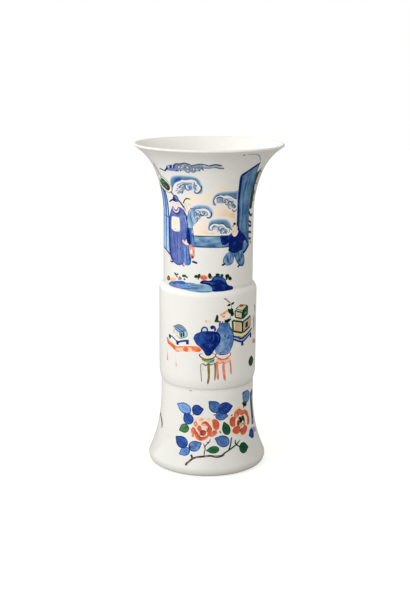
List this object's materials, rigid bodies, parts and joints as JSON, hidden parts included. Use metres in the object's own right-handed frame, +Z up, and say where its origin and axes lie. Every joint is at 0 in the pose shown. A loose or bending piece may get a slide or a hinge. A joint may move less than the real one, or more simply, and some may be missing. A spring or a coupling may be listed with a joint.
{
  "type": "vase",
  "caption": "Tall porcelain vase in the form of a gu beaker: trumpet mouth, straight neck, raised central band and spreading foot on a turned foot ring.",
  "frame": {"origin": "centre of the vase's footprint, on the plane that its foot ring rests on", "axes": "+Z up along the vase's axis, -Y towards someone who looks at the main painted scene, +X to their right"},
  "size_m": [0.1908, 0.1908, 0.42],
  "materials": {
    "porcelain_body": "unglazed, fired, fine matt",
    "slip": "unglazed, fired, fine matt",
    "clear_glaze": "glossy clear glaze over white clay"
  },
  "bodies": {
    "root": {"neck_section": "porcelain_body", "upper_lute": "slip", "drum_section": "porcelain_body", "lower_lute": "slip", "foot_section": "porcelain_body", "outer_glaze": "clear_glaze", "inner_glaze": "clear_glaze", "base_glaze": "clear_glaze"}
  },
  "joints": []
}
